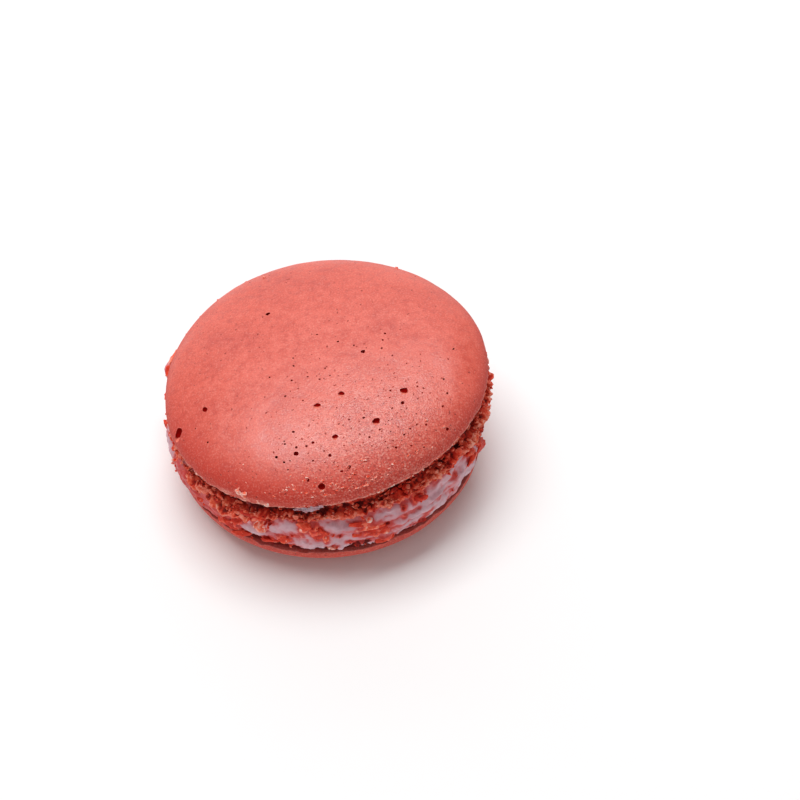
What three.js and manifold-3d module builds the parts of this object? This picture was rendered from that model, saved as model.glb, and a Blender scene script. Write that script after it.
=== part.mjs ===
// A French macaron lying on its lower shell. Millimetres, +Z up, the origin in the middle of the small flat
// that the macaron rests on, the front at -Y.
//
// Two meringue shells hold a layer of cream. Each shell is one baked piece: a domed skin with a rolled edge,
// and under it a ragged, crumbly foot that flares out to the shell's flat side. The upper shell has risen
// unevenly, so its foot is low and its dome leans down at -X. The cream has been squeezed out past both feet,
// hangs a little over the lower one, and carries crumbs of shell.

import * as THREE from "three";
import { ImprovedNoise } from "three/addons/math/ImprovedNoise.js";
import { mergeVertices } from "three/addons/utils/BufferGeometryUtils.js";
import Module from "manifold-3d";

const wasm = await Module();
wasm.setup();

// Driving dimensions. A shell's own frame has its dome up and height 0 at the widest line of its skin.
const segments = 104; // steps round each piece
const upperShell = {
  radius: 22.5, // widest line of the skin
  dome: 6.0, // rise of the dome above that line
  flat: 0, // radius of the level middle of the dome
  fullness: 2.4, // 2 is an ellipse, more is a flatter top with a rounder shoulder
  oval: 0.01, // share of the radius by which the outline is longer along X and shorter along Y
  threeSided: 0.014, // share of the radius by which it bulges on three sides, one of them +X
  uneven: { depth: 0.12, size: 9 }, // slow waves in the outline
  lip: 0.6, // drop of the skin's rolled edge
  lipDepth: 0.8, // how far the edge rolls back in
  recess: 1.2, // how far the foot is set back under the edge
  shadowLine: 0.25, // height of the plain groove between the rolled edge and the foot
  foot: 3.4, // drop from the widest line to the flat side
  footRadius: 22.3, // the foot where it meets the cream
  flare: 1.6, // 1 is a straight slope, more keeps the foot narrow until near its base
  footEdge: 0.25, // height of the soft edge round the flat side
  lopsided: 0.5, // share by which the foot is taller at +X and lower at -X
  crag: { depth: 0.8, size: 1.9 }, // the foot's raggedness
  seed: 3.7,
  rings: { dome: 11, lip: 2, foot: 6 },
};
const lowerShell = {
  ...upperShell,
  radius: 22.25,
  dome: 4.4,
  flat: 8.5,
  oval: -0.006,
  threeSided: 0.004,
  foot: 3.0,
  footRadius: 20.7,
  lopsided: 0,
  crag: { depth: 0.5, size: 1.9 },
  seed: 11.2,
  rings: { dome: 7, lip: 2, foot: 4 },
};
const upperSeat = { x: -0.2, y: 0.15, height: 15.1, lean: Math.atan(0.12) }; // middle of the upper widest line
const gap = 0.3; // left between the cream and the shells
const cream = {
  radius: 22.3, // where it bulges out between the feet
  hang: { front: 2.0, back: 1.1, ragged: 0.7, size: 3 }, // how far its edge hangs over the lower foot
  hangInside: 21.2, // clear of the lower foot
  wander: { depth: 0.35, size: 6 }, // slow waves in its outline
  lump: { depth: 0.35, size: 3.2 },
  streak: { depth: 0.22, perHeight: 2.4, size: 7 }, // spreading marks that run round its side
  seed: 5.1,
};
// Where the cream has been squeezed further out: at its top behind -X, past the skin, and low along -X.
const dabs = [
  { bearing: -108, width: 8, share: 0.9, reach: 0.4, depth: 3.2 },
  { bearing: -62, width: 20, share: 0.35, reach: 0.8, depth: 0.5 },
];
// Larger bubbles burst in the upper skin: place from the shell's middle, and width.
const bubbles = [
  { x: -15.2, y: -8.2, width: 0.9 },
  { x: -19.4, y: -10.1, width: 1.5 },
  { x: 0.3, y: -10.0, width: 0.8 },
  { x: 3.7, y: -8.3, width: 0.8 },
  { x: 12.0, y: -8.1, width: 1.0 },
  { x: 8.2, y: -12.9, width: 1.1 },
  { x: 2.7, y: -14.9, width: 0.9 },
  { x: 0.9, y: -21.1, width: 1.0 },
  { x: 6.4, y: -1.1, width: 0.7 },
  { x: 18.6, y: -0.5, width: 0.9 },
];
const bubbleRise = 0.1; // share of its width by which a bubble's middle lies above the skin
// Larger crumbs pressed into the cream: bearing from the front, towards +X, share of the cream's height, size.
const largeCrumbs = [
  { bearing: -24, share: 0.62, width: 1.9, height: 1.7 },
  { bearing: -14, share: 0.3, width: 2.4, height: 1.3 },
  { bearing: -7, share: 0.6, width: 2.6, height: 1.9 },
  { bearing: 17, share: 0.55, width: 3.8, height: 2.2 },
  { bearing: 28, share: 0.3, width: 2.8, height: 1.6 },
  { bearing: 44, share: 0.5, width: 2.2, height: 1.0 },
];
const smallCrumbs = { count: 26, least: 0.8, most: 1.7, flatness: 0.75, seed: 20 };
const smallCrumbArc = { from: 60, sweep: 270 }; // the front carries the larger ones
const crumbDepth = 1.6; // from the outer end of a crumb to the end inside the cream
const crumbRise = 0.15; // how far its middle stands out of the cream

const noise = new ImprovedNoise();

// Smooth noise from about -1 to 1, with features of about the given size.
const rough = (p, size, seed) => noise.noise(p.x / size + seed, p.y / size - seed, p.z / size + 2 * seed);

// The same all the way up, so that it only changes round the macaron.
const roughRound = (p, size, seed) => rough({ x: p.x, y: p.y, z: 0 }, size, seed);

// Two sizes of noise on each other, which makes broken lumps.
const broken = (p, { depth, size }, seed) =>
  depth * (0.75 * rough(p, size, seed) + 0.6 * rough(p, 0.55 * size, seed + 9));

// The angle of a point round the macaron from the front, towards +X, in degrees from -180 to 180.
const bearingOf = (p) => THREE.MathUtils.radToDeg(Math.atan2(p.x, -p.y));

// A repeatable draw between 0 and 1.
function seededDraw(seed) {
  let state = seed;
  return () => {
    state = (state * 16807) % 2147483647;
    return state / 2147483647;
  };
}

// A closed surface turned from a profile of (radius, height) points, which runs from the lower end of the axis
// to the upper one. Each of its points is then moved by shape.
function turned(profile, shape) {
  const lathe = new THREE.LatheGeometry(profile, segments).rotateX(Math.PI / 2);
  lathe.deleteAttribute("normal");
  lathe.deleteAttribute("uv");
  const geometry = mergeVertices(lathe, 1e-3);
  const places = geometry.getAttribute("position");
  const p = new THREE.Vector3();
  for (let i = 0; i < places.count; i++) {
    shape(p.fromBufferAttribute(places, i));
    places.setXYZ(i, p.x, p.y, p.z);
  }
  return geometry;
}

// A rough ball of the given detail and width 1.
function ball(detail) {
  const geometry = new THREE.IcosahedronGeometry(0.5, detail);
  geometry.deleteAttribute("normal");
  geometry.deleteAttribute("uv");
  return mergeVertices(geometry, 1e-4);
}

function solidOf(geometry) {
  const vertProperties = new Float32Array(geometry.getAttribute("position").array);
  const triVerts = new Uint32Array(geometry.index.array);
  return new wasm.Manifold(new wasm.Mesh({ numProp: 3, vertProperties, triVerts }));
}

function geometryOf(solid) {
  const { vertProperties, triVerts } = solid.getMesh();
  return new THREE.BufferGeometry()
    .setAttribute("position", new THREE.BufferAttribute(vertProperties, 3))
    .setIndex(new THREE.BufferAttribute(triVerts, 1));
}

// The dome's height over a place that is this far from its middle.
function domeHeight(s, radius) {
  const out = Math.max(0, radius - s.flat) / (s.radius - s.flat);
  return s.dome * Math.max(0, 1 - out ** s.fullness) ** (1 / s.fullness);
}

// A shell's profile from the middle of its flat side, up the foot, round the rolled edge and over the dome.
function shellProfile(s) {
  const profile = [];
  const add = (radius, height) => profile.push(new THREE.Vector2(radius, height));
  for (const share of [0, 0.45, 0.85, 0.96]) add(share * s.footRadius, -s.foot);
  for (let i = 0; i <= s.rings.foot; i++) {
    const t = i / s.rings.foot;
    const radius = THREE.MathUtils.lerp(s.radius - s.recess, s.footRadius, (1 - t) ** s.flare);
    const edge = i === 0 ? s.footEdge : 0;
    add(radius, THREE.MathUtils.lerp(-s.foot + edge, -s.lip - s.shadowLine, t));
  }
  for (let i = 0; i < s.rings.lip; i++) {
    const turn = (Math.PI / 2) * (1 - i / s.rings.lip);
    add(s.radius - s.lipDepth * (1 - Math.cos(turn)), -s.lip * Math.sin(turn));
  }
  for (let i = 0; i < s.rings.dome; i++) {
    const turn = ((i / s.rings.dome) * Math.PI) / 2;
    const radius = s.flat + (s.radius - s.flat) * Math.cos(turn) ** (2 / s.fullness);
    add(radius, domeHeight(s, radius));
  }
  if (s.flat > 0) add(s.flat, s.dome);
  add(0, s.dome);
  return profile;
}

// Moves a point of a turned shell: ragged below the rolled edge, lopsided, and a little out of round.
function bakeShell(s, p) {
  const radius = Math.hypot(p.x, p.y);
  if (radius === 0) return;
  const inFoot = THREE.MathUtils.smoothstep(-p.z, s.lip + 0.1, s.lip + 0.9);
  const atRim = THREE.MathUtils.smoothstep(radius, 0.88 * s.footRadius, 0.97 * s.footRadius);
  const turn = Math.atan2(p.y, p.x);
  const wave = s.oval * Math.cos(2 * turn) + s.threeSided * Math.cos(3 * turn);
  const waves = s.uneven.depth * rough(p, s.uneven.size, s.seed);
  const scale = 1 + wave + (waves + inFoot * atRim * broken(p, s.crag, s.seed)) / radius;
  if (p.z < -s.lip) {
    p.z = -s.lip + (p.z + s.lip) * (1 + (s.lopsided * p.x) / s.radius);
  }
  p.x *= scale;
  p.y *= scale;
}

function makeShell(s) {
  return solidOf(turned(shellProfile(s), (p) => bakeShell(s, p)));
}

// Round dimples where bubbles have burst in the skin.
function burstBubbles(s, shell) {
  for (const { x, y, width } of bubbles) {
    const height = domeHeight(s, Math.hypot(x, y)) + bubbleRise * width;
    shell = shell.subtract(solidOf(ball(1).scale(width, width, width).translate(x, y, height)));
  }
  return shell;
}

// Heights of the flat sides that the cream lies between, less the gap to each.
const creamFloor = lowerShell.dome + lowerShell.foot + gap;
function creamCeiling(x) {
  const footDrop = upperShell.foot - upperShell.lip;
  const slope = Math.tan(upperSeat.lean) - (upperShell.lopsided * footDrop) / upperShell.radius;
  return upperSeat.height - upperShell.foot - gap + slope * (x - upperSeat.x);
}

// Radius and share of the cream's height, from its underside round to its top. Below 0 it hangs.
const creamProfile = [
  [0, 0],
  [0.5 * cream.radius, 0],
  [cream.hangInside - 0.1, 0],
  [cream.hangInside, -0.55],
  [cream.hangInside + 0.4, -1],
  [cream.radius - 0.25, -0.85],
  [cream.radius, -0.3],
  [cream.radius + 0.15, 0.12],
  [cream.radius + 0.2, 0.3],
  [cream.radius + 0.15, 0.48],
  [cream.radius, 0.66],
  [cream.radius - 0.15, 0.82],
  [cream.radius - 0.5, 0.95],
  [cream.radius - 1.2, 1],
  [0.5 * cream.radius, 1],
  [0, 1],
].map(([radius, share]) => new THREE.Vector2(radius, share));

// How far the cream stands out past its mean radius, at a place and a share of its height.
function creamBulge(p, share) {
  let bulge = cream.wander.depth * roughRound(p, cream.wander.size, cream.seed);
  for (const dab of dabs) {
    const along = (bearingOf(p) - dab.bearing) / dab.width;
    const up = (share - dab.share) / dab.reach;
    bulge += dab.depth * Math.exp(-along * along - up * up);
  }
  return bulge;
}

// How far the cream's edge hangs at a place: furthest in front, with a ragged line.
function creamHang(p) {
  const { front, back, ragged, size } = cream.hang;
  const towardsBack = 0.5 + (0.5 * p.y) / cream.radius;
  const even = THREE.MathUtils.lerp(front, back, towardsBack);
  return Math.min(front, even + ragged * roughRound(p, size, cream.seed + 4));
}

// Turns a share of the cream's height into a true height, and makes its side lumpy and streaked.
function spreadCream(p) {
  const share = p.z;
  const radius = Math.hypot(p.x, p.y);
  const atSide = THREE.MathUtils.smoothstep(radius, cream.hangInside, cream.radius - 0.1);
  p.z = creamFloor + share * (share < 0 ? creamHang(p) : creamCeiling(p.x) - creamFloor);
  if (atSide === 0) return;
  const { depth, perHeight, size } = cream.streak;
  const streaks = depth * Math.sin(2 * Math.PI * (perHeight * share + rough(p, size, cream.seed + 2)));
  const lumps = broken(p, cream.lump, cream.seed);
  const scale = 1 + (atSide * (creamBulge(p, share) + lumps + streaks)) / radius;
  p.x *= scale;
  p.y *= scale;
}

// One angular crumb of shell, half sunk in the side of the cream.
function makeCrumb({ bearing, share, width, height }, index) {
  const turn = THREE.MathUtils.degToRad(bearing);
  const place = new THREE.Vector3(Math.sin(turn), -Math.cos(turn), 0);
  place.multiplyScalar(cream.radius);
  place.multiplyScalar(1 + (creamBulge(place, share) + crumbRise) / cream.radius);
  place.z = THREE.MathUtils.lerp(creamFloor, creamCeiling(place.x), share);
  const crumb = ball(0).rotateX(index).rotateZ(2 * index); // no two alike
  crumb.scale(width, crumbDepth, height).rotateZ(turn).translate(place.x, place.y, place.z);
  return solidOf(crumb);
}

// Crumbs of many sizes spread round the cream, between its top and bottom edges.
function scatterCrumbs({ count, least, most, flatness, seed }) {
  const draw = seededDraw(seed);
  return Array.from({ length: count }, (_, i) => {
    const width = THREE.MathUtils.lerp(least, most, draw() ** 2);
    const bearing = smallCrumbArc.from + ((i + draw()) * smallCrumbArc.sweep) / count;
    const share = THREE.MathUtils.lerp(0.25, 0.75, draw());
    return makeCrumb({ bearing, share, width, height: flatness * width }, i);
  });
}

function makeCream() {
  const crumbs = [...largeCrumbs.map(makeCrumb), ...scatterCrumbs(smallCrumbs)];
  return wasm.Manifold.union([solidOf(turned(creamProfile, spreadCream)), ...crumbs]);
}

function piece(name, solid, colour, roughness) {
  const material = new THREE.MeshStandardMaterial({ color: colour, roughness, metalness: 0 });
  const mesh = new THREE.Mesh(geometryOf(solid), material);
  mesh.name = name;
  return mesh;
}

const macaron = new THREE.Group();

const lower = piece("lower_shell", makeShell(lowerShell), 0xc9563f, 0.75);
lower.rotation.x = Math.PI;
lower.position.z = lowerShell.dome;

const filling = piece("filling", makeCream(), 0xd9b4c0, 0.45);

const upper = piece("upper_shell", burstBubbles(upperShell, makeShell(upperShell)), 0xd9604d, 0.7);
upper.rotation.y = -upperSeat.lean;
upper.position.set(upperSeat.x, upperSeat.y, upperSeat.height);

macaron.add(lower, filling, upper);

export default macaron;
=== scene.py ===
import math
import random

import bpy
import numpy as np
from mathutils import Euler, Matrix, Vector, noise


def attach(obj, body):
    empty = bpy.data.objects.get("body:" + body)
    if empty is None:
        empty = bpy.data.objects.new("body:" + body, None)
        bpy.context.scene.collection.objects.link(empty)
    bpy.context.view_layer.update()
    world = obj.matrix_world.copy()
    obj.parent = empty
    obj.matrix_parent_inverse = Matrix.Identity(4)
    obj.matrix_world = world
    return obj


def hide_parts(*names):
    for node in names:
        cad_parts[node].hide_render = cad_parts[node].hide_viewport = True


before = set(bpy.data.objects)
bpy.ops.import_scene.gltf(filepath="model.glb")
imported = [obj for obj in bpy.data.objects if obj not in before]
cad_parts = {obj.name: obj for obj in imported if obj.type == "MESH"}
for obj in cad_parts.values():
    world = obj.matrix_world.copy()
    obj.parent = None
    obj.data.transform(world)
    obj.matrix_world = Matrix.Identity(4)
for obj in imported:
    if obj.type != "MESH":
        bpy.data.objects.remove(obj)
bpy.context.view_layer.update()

# Pieces are modelled in millimetres round the origin, and settle() brings them to their place in metres.
# A bearing runs round the macaron: 0 in front, and up towards +X.
mm = 0.001


def clearPick():
    if bpy.context.object and bpy.context.object.mode != "OBJECT":
        bpy.ops.object.mode_set(mode="OBJECT")
    bpy.ops.object.select_all(action="DESELECT")


def pick(piece):
    clearPick()
    piece.select_set(True)
    bpy.context.view_layer.objects.active = piece


def modify(piece, kind, **settings):
    # adds a modifier to the active piece and applies it
    bpy.ops.object.modifier_add(type=kind)
    modifier = piece.modifiers[-1]
    for key, value in settings.items():
        setattr(modifier, key, value)
    bpy.ops.object.modifier_apply(modifier=modifier.name)


def turnOnAxis(name, profile, steps):
    # a chain of edges through (radius, height) points, spun a quarter turn round Z and mirrored to a whole
    clearPick()
    bpy.ops.mesh.primitive_plane_add(size=1, location=(0, 0, 0))
    piece = bpy.context.object
    piece.name = piece.data.name = name
    bpy.ops.object.mode_set(mode="EDIT")
    bpy.ops.mesh.select_all(action="SELECT")
    bpy.ops.mesh.merge(type="CENTER")
    (radius, height), *rest = profile
    bpy.ops.transform.translate(value=(radius, 0, height))
    for nextRadius, nextHeight in rest:
        step = (nextRadius - radius, 0, nextHeight - height)
        bpy.ops.mesh.extrude_vertices_move(TRANSFORM_OT_translate={"value": step})
        radius, height = nextRadius, nextHeight
    bpy.ops.mesh.select_all(action="SELECT")
    bpy.ops.mesh.spin(steps=steps // 4, angle=math.pi / 2, center=(0, 0, 0), axis=(0, 0, 1))
    bpy.ops.object.mode_set(mode="OBJECT")
    modify(piece, "MIRROR", use_axis=(True, True, False), use_mirror_merge=False)
    bpy.ops.object.mode_set(mode="EDIT")
    bpy.ops.mesh.select_all(action="SELECT")
    bpy.ops.mesh.remove_doubles(threshold=1e-4)
    bpy.ops.mesh.normals_make_consistent(inside=False)
    bpy.ops.object.mode_set(mode="OBJECT")
    return piece


def pointsOf(piece):
    flat = np.empty(len(piece.data.vertices) * 3)
    piece.data.vertices.foreach_get("co", flat)
    return flat.reshape(-1, 3)


def mould(piece, places):
    piece.data.vertices.foreach_set("co", places.ravel())
    piece.data.update()


def note(piece, name, values):
    # one number a vertex, which the material reads
    attribute = piece.data.attributes.new(name, "FLOAT", "POINT")
    attribute.data.foreach_set("value", np.asarray(values, dtype=np.float32))


def smoothStep(low, high, value):
    share = np.clip((value - low) / (high - low), 0, 1)
    return share * share * (3 - 2 * share)


def between(value, start, full, fading, end):
    # 1 from full to fading, and 0 beyond start and end
    return smoothStep(start, full, value) * smoothStep(end, fading, value)


def bearingOf(places):
    return np.degrees(np.arctan2(places[:, 0], -places[:, 1]))


def atBearing(turn, radius, height):
    # turn is a bearing in radians
    return radius * math.sin(turn), -radius * math.cos(turn), height


def facingAt(turn):
    # turns +Y outwards at a bearing in radians
    return Euler((0, 0, turn + math.pi)).to_matrix()


def grainAt(place, size, shift=0, flatness=1):
    # noise from -1 to 1; flat grains are wider than high, and flatness 0 makes them the same all the way up
    return noise.noise(Vector((place[0] / size + shift, place[1] / size, place[2] * flatness / size - shift)))


def grainsAt(place, layers):
    # each layer is (strength, size, shift) or (strength, size, shift, flatness)
    return sum(strength * grainAt(place, *layer) for strength, *layer in layers)


def neighbourMean(piece, places, rounds):
    edges = np.empty(len(piece.data.edges) * 2, dtype=np.int64)
    piece.data.edges.foreach_get("vertices", edges)
    a, b = edges.reshape(-1, 2).T
    count = np.bincount(np.concatenate([a, b]), minlength=len(places))[:, None]
    smooth = places.copy()
    for _ in range(rounds):
        total = np.empty_like(smooth)
        for axis in range(3):
            total[:, axis] = np.bincount(a, smooth[b, axis], len(places))
            total[:, axis] += np.bincount(b, smooth[a, axis], len(places))
        smooth = total / count
    return smooth


def creviceOf(piece, rounds, reach):
    # 0 on the tips, 0.5 on the flat, 1 at the bottom of crevices
    places = pointsOf(piece)
    normals = np.empty(len(places) * 3)
    piece.data.vertex_normals.foreach_get("vector", normals)
    sunk = ((neighbourMean(piece, places, rounds) - places) * normals.reshape(-1, 3)).sum(axis=1)
    return np.clip(0.5 + sunk / (2 * reach), 0, 1)


def settle(piece, seat, angle):
    # from the piece's own frame in millimetres to its place in metres
    pick(piece)
    piece.rotation_euler = seat["turn"]
    piece.location = Vector(seat["middle"]) * mm
    piece.scale = (mm, mm, mm)
    bpy.ops.object.transform_apply(location=True, rotation=True, scale=True)
    bpy.ops.object.shade_smooth_by_angle(angle=math.radians(angle))


def dress(piece, *materials):
    piece.data.materials.clear()
    for material in materials:
        piece.data.materials.append(material)


def hand(piece, node):
    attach(piece, "root")
    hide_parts(node)
    print(f"{piece.name}: {len(piece.data.polygons)} faces")


def finishPieces(node, seat, *pieces):
    # each of them with its slot, which is not used, and the angle up to which its faces are shaded smooth
    for piece, slot, angle in pieces:
        settle(piece, seat, angle)
        hand(piece, node)


crumbShape = {
    "radius": 0.55, "bites": (0.2, 0.4),  # how far from the middle its sides are broken off
    "lumpSizes": (0.5, 0.2), "gritSizes": (0.16, 0.08), "usualLength": 0.42,
}


def breakCrumb(seed, sides=4, lumps=0.6, fineness=2, grit=0):
    # one broken crumb about 1 across: a lumpy ball with a few sides broken off flat
    clearPick()
    bpy.ops.mesh.primitive_ico_sphere_add(subdivisions=fineness, radius=crumbShape["radius"])
    crumb = bpy.context.object
    places = pointsOf(crumb)
    draw = random.Random(seed)
    wide, narrow = crumbShape["lumpSizes"]
    for place in places:
        place *= 1 + lumps * (grainAt(place, wide, seed * 3.1) + 0.5 * grainAt(place, narrow, seed * 1.7))
    for _ in range(sides):
        side = Vector([draw.gauss(0, 1) for _ in range(3)]).normalized()
        over = np.clip(places @ np.array(side) - draw.uniform(*crumbShape["bites"]), 0, None)
        places -= over[:, None] * np.array(side)
    wide, narrow = crumbShape["gritSizes"]
    for place in places:
        place *= 1 + grit * (grainAt(place, wide, seed) + 0.6 * grainAt(place, narrow, seed))
    length = np.linalg.norm(places, axis=1)
    raised = length - np.linalg.norm(neighbourMean(crumb, places, 2 * fineness - 2), axis=1)
    faces = [tuple(face.vertices) for face in crumb.data.polygons]
    bpy.data.objects.remove(crumb)
    # lighter where the crumb stands out: a painted highlight
    tipHighlight = 0.5 * (length - crumbShape["usualLength"]) + (3 - 0.6 * fineness) * (raised - raised.mean())
    return places, faces, tipHighlight


def spread(name, copies, material, attribute="tone", kinds=None):
    # copies of the crumbs, each (kind, matrix, tone), joined to one piece, with painted highlights on their
    # tips
    points, faces, tones = [], [], []
    lighter = -1 if attribute == "crevice" else 1
    start = 0
    for kind, matrix, tone in copies:
        places, kindFaces, tipHighlight = (kinds or crumbKinds)[kind]
        points.append(places @ np.array(matrix.to_3x3()).T + np.array(matrix.translation))
        faces += [tuple(corner + start for corner in face) for face in kindFaces]
        tones += list(np.clip(tone + lighter * tipHighlight, 0, 1))
        start += len(places)
    mesh = bpy.data.meshes.new(name)
    mesh.from_pydata(np.concatenate(points).tolist(), [], faces)
    piece = bpy.data.objects.new(name, mesh)
    bpy.context.scene.collection.objects.link(piece)
    note(piece, attribute, tones)
    dress(piece, material)
    return piece


small, large = range(7), range(7, 13)
crumbKinds = [breakCrumb(seed) for seed in small]
crumbKinds += [breakCrumb(seed, sides=5, lumps=0.35, fineness=4, grit=0.07) for seed in large]
bubbleKinds = [breakCrumb(seed, sides=0, lumps=0.25, fineness=3) for seed in small]


def crumbCopy(draw, middle, facing, size, tone, kinds=small):
    # facing turns +Y outwards; size is across, outwards, up
    tumble = Euler([draw.uniform(0, 2 * math.pi) for _ in range(3)]).to_matrix()
    matrix = (facing @ Matrix.Diagonal(size) @ tumble).to_4x4()
    matrix.translation = middle
    return draw.choice(kinds), matrix, min(1, max(0, tone))


def srgb(red, green, blue):
    channels = [c / 255 for c in (red, green, blue)]
    return [c / 12.92 if c <= 0.04045 else ((c + 0.055) / 1.055) ** 2.4 for c in channels] + [1.0]


def join(tree, made, inputs):
    # links what comes from a socket and sets the rest
    for key, value in inputs.items():
        if isinstance(value, bpy.types.NodeSocket):
            tree.links.new(value, made.inputs[key])
        else:
            made.inputs[key].default_value = value
    return made


def add(tree, kind, inputs=None, **settings):
    made = tree.nodes.new("ShaderNode" + kind)
    for key, value in settings.items():
        setattr(made, key, value)
    return join(tree, made, inputs or {})


def mixColours(tree, factor, first, second, blend="MIX"):
    made = add(tree, "Mix", data_type="RGBA", blend_type=blend)
    return join(tree, made, {0: factor, 6: first, 7: second}).outputs[2]


def ramp(tree, factor, *stops):
    made = add(tree, "ValToRGB", {0: factor})
    elements = made.color_ramp.elements
    while len(elements) < len(stops):
        elements.new(0.5)
    for element, (position, colour) in zip(elements, stops):
        element.position = position
        element.color = colour
    return made.outputs[0]


def maths(tree, operation, first, second, clamp=False):
    return add(tree, "Math", {0: first, 1: second}, operation=operation, use_clamp=clamp).outputs[0]


def times(tree, first, second):
    return maths(tree, "MULTIPLY", first, second)


def plus(tree, first, second, clamp=False):
    return maths(tree, "ADD", first, second, clamp)


def larger(tree, first, second):
    return maths(tree, "MAXIMUM", first, second)


def swing(tree, value, strength, middle=0.5):
    # how far a value is from its middle, made weaker or stronger
    return times(tree, maths(tree, "SUBTRACT", value, middle), strength)


def vectorMaths(tree, operation, inputs, output=0):
    return add(tree, "VectorMath", inputs, operation=operation).outputs[output]


def remap(tree, value, low, high, newLow=0.0, newHigh=1.0):
    return add(tree, "MapRange", {0: value, 1: low, 2: high, 3: newLow, 4: newHigh}).outputs[0]


def nearness(tree, position, middle, near, far):
    # 1 within near millimetres of a place, 0 beyond far
    away = vectorMaths(tree, "DISTANCE", {0: position, 1: Vector(middle) * mm}, "Value")
    return remap(tree, away, near * mm, far * mm, 1.0, 0.0)


def readNote(tree, name):
    return add(tree, "Attribute", attribute_name=name).outputs["Fac"]


def startMaterial(name):
    material = bpy.data.materials.new(name)
    material.use_nodes = True
    tree = material.node_tree
    position = add(tree, "TexCoord").outputs["Object"]
    return material, tree, tree.nodes["Principled BSDF"], position


def newGroup(name, inputs, output):
    group = bpy.data.node_groups.new(name, "ShaderNodeTree")
    group.interface.new_socket("Vector", in_out="INPUT", socket_type="NodeSocketVector")
    for key, value in inputs.items():
        socket = group.interface.new_socket(key, in_out="INPUT", socket_type="NodeSocketFloat")
        socket.default_value = value
    group.interface.new_socket(output, in_out="OUTPUT", socket_type="NodeSocketFloat")
    return group, group.nodes.new("NodeGroupInput").outputs, group.nodes.new("NodeGroupOutput").inputs[0]


def useGroup(tree, group, **inputs):
    made = tree.nodes.new("ShaderNodeGroup")
    made.node_tree = group
    return join(tree, made, inputs).outputs[0]


def makePinholes():
    # round dots scattered over a surface: Share of the cells has one, Size is its radius in cells
    group, given, result = newGroup("pinholes", {"Spacing": 0.001, "Size": 0.2, "Share": 0.5}, "Mask")
    scale = maths(group, "DIVIDE", 1.0, given["Spacing"])
    wobble = {"Vector": given["Vector"], "Scale": times(group, scale, 1.7), "Detail": 1.0}
    shake = add(group, "TexNoise", wobble).outputs["Color"]
    shake = vectorMaths(group, "SUBTRACT", {0: shake, 1: (0.5, 0.5, 0.5)})
    shake = vectorMaths(group, "SCALE", {0: shake, "Scale": given["Spacing"]})
    shaken = vectorMaths(group, "ADD", {0: given["Vector"], 1: shake})
    cells = add(group, "TexVoronoi", {"Vector": shaken, "Scale": scale})
    luck = add(group, "SeparateColor", {0: cells.outputs["Color"]}).outputs[0]
    chosen = maths(group, "LESS_THAN", luck, given["Share"])
    uneven = plus(group, maths(group, "DIVIDE", luck, given["Share"]), 0.4)
    radius = times(group, given["Size"], uneven)
    dot = add(group, "MapRange", {0: cells.outputs["Distance"], 1: radius, 2: times(group, radius, 0.5)})
    group.links.new(times(group, dot.outputs[0], chosen), result)
    return group


def makeGrain():
    # cloudy mottling round 0.5
    group, given, result = newGroup("grain", {"Size": 0.001, "Fineness": 4.0, "Contrast": 1.0}, "Value")
    scale = maths(group, "DIVIDE", 1.0, given["Size"])
    inputs = {"Vector": given["Vector"], "Scale": scale, "Detail": given["Fineness"], "Roughness": 0.6}
    contrasted = swing(group, add(group, "TexNoise", inputs).outputs[0], given["Contrast"])
    group.links.new(plus(group, contrasted, 0.5, clamp=True), result)
    return group


pinholes = makePinholes()
grain = makeGrain()


def clouds(tree, position, size, fineness, contrast):
    return useGroup(tree, grain, Vector=position, Size=size * mm, Fineness=fineness, Contrast=contrast)


def dots(tree, position, spacing, size, share):
    return useGroup(tree, pinholes, Vector=position, Spacing=spacing * mm, Size=size, Share=share)


def finishShader(tree, shader, finish, colour, relief=None, rough=None):
    # rough varies over the surface where it is given
    join(tree, shader, {"Base Color": colour, "Roughness": rough or finish["roughness"]})
    join(tree, shader, {"Specular IOR Level": finish["specular"]})
    if relief:
        strength, distance = finish["bump"]
        bump = add(tree, "Bump", {"Height": relief, "Strength": strength, "Distance": distance * mm})
        join(tree, shader, {"Normal": bump.outputs[0]})


# In the finishes, clouds are (size, fineness, contrast), dots are (spacing, size) and a bump is (strength,
# distance), with lengths in millimetres. The ranges go to remap().
skinFinish = {
    "base": srgb(219, 78, 55), "pale": srgb(229, 93, 73), "deep": srgb(199, 55, 36),
    # rim is the deep red low on the dome, and the same red serves as painted shade higher up on one side
    "rim": srgb(198, 36, 4), "bakedShare": 0.85,
    # worn is the pale of wear and grain, also used for the painted highlight along the edge and for painted
    # glints
    "paleWearAndGlint": srgb(238, 164, 148), "speckle": srgb(126, 10, 6), "holeShare": 0.75,
    "slow": (6, 3.0, 1.5), "fine": (1.1, 4.0, 1.8), "micro": (0.24, 1.0, 2.6), "mottle": (0.7, 3.0, 2.6),
    "patchy": (1.8, 4.0, 3.0), "edgePatches": (0.3, 0.75, 0.35, 1.0), "edgeSpecks": (0.3, 0.6, 0.55, 1.1),
    "speckled": (8, -16, 17), "speckledReach": (5, 16),  # where the pinholes are thickest and the highlight falls, and where pale specks are partly painted glints
    "dense": (0.55, 0.2), "denseShare": (0.2, 0.7), "sparse": (1.5, 0.1), "sparseShare": (0.3, 0.7),
    "microStrength": (0.2, 0.5), "mottleStrength": 0.3,
    "darkMicro": (0.34, 0.08), "darkMottle": (0.32, 0.05),
    "lightMicro": (0.62, 0.92), "lightMottle": (0.58, 0.9),
    "roughness": (0.36, 0.5), "shadeDulling": 1.6, "dulling": 0.5, "specular": 1.0,
    "microRelief": (0.15, 0.6), "fineRelief": 0.4, "holeRelief": 1.5, "bump": (0.6, 0.1),
}


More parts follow.
